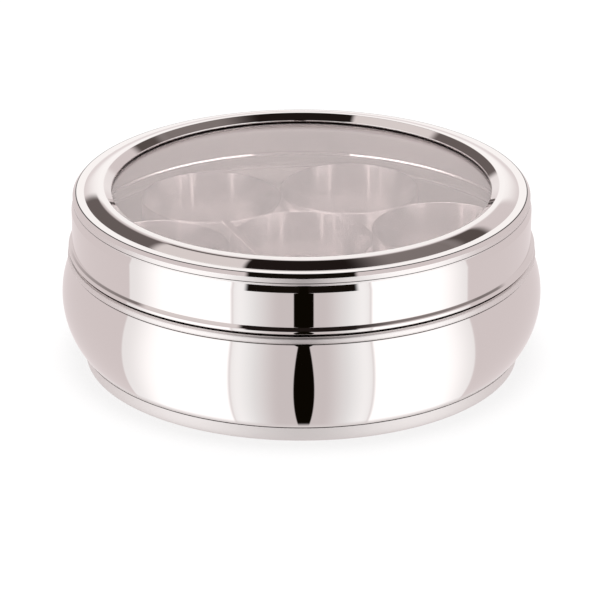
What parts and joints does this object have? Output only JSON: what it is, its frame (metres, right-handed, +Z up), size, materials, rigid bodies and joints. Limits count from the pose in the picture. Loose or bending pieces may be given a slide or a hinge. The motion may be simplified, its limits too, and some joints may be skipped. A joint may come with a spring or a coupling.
{
  "type": "masala box",
  "caption": "Round belly-shaped steel spice box with a lift-off see-through lid, loose cups inside and a small spoon.",
  "frame": {"origin": "centre of the foot, on the surface that the box stands on", "axes": "+Z up along the box's axis; -Y towards the viewer of the picture"},
  "size_m": [0.2142, 0.2142, 0.0818],
  "materials": {
    "box_steel": "mirror-polished stainless steel",
    "cup_steel": "polished stainless steel",
    "window": "clear acrylic"
  },
  "bodies": {
    "box": {"body_shell": "box_steel"},
    "lid": {"lid_band": "box_steel", "lid_ring": "box_steel", "lid_window": "window", "lid_retainer": "box_steel"},
    "cup_centre_body": {"cup_centre": "cup_steel"},
    "cup_1_body": {"cup_1": "cup_steel"},
    "cup_2_body": {"cup_2": "cup_steel"},
    "cup_3_body": {"cup_3": "cup_steel"},
    "cup_4_body": {"cup_4": "cup_steel"},
    "cup_5_body": {"cup_5": "cup_steel"},
    "cup_6_body": {"cup_6": "cup_steel"},
    "spoon_body": {"spoon": "cup_steel"}
  },
  "joints": [
    {"name": "lid_lift", "type": "slide", "parent": "box", "child": "lid", "axis": [0, 0, 1], "range_m": [0, 0.15]},
    {"name": "cup_centre_lift", "type": "slide", "parent": "box", "child": "cup_centre_body", "axis": [0, 0, 1], "range_m": [0, 0.008]},
    {"name": "cup_1_lift", "type": "slide", "parent": "box", "child": "cup_1_body", "axis": [0, 0, 1], "range_m": [0, 0.018]},
    {"name": "cup_2_lift", "type": "slide", "parent": "box", "child": "cup_2_body", "axis": [0, 0, 1], "range_m": [0, 0.018]},
    {"name": "cup_3_lift", "type": "slide", "parent": "box", "child": "cup_3_body", "axis": [0, 0, 1], "range_m": [0, 0.018]},
    {"name": "cup_4_lift", "type": "slide", "parent": "box", "child": "cup_4_body", "axis": [0, 0, 1], "range_m": [0, 0.018]},
    {"name": "cup_5_lift", "type": "slide", "parent": "box", "child": "cup_5_body", "axis": [0, 0, 1], "range_m": [0, 0.018]},
    {"name": "cup_6_lift", "type": "slide", "parent": "box", "child": "cup_6_body", "axis": [0, 0, 1], "range_m": [0, 0.018]},
    {"name": "spoon_lift", "type": "slide", "parent": "cup_centre_body", "child": "spoon_body", "axis": [0, 0, 1], "range_m": [0, 0.006]}
  ]
}
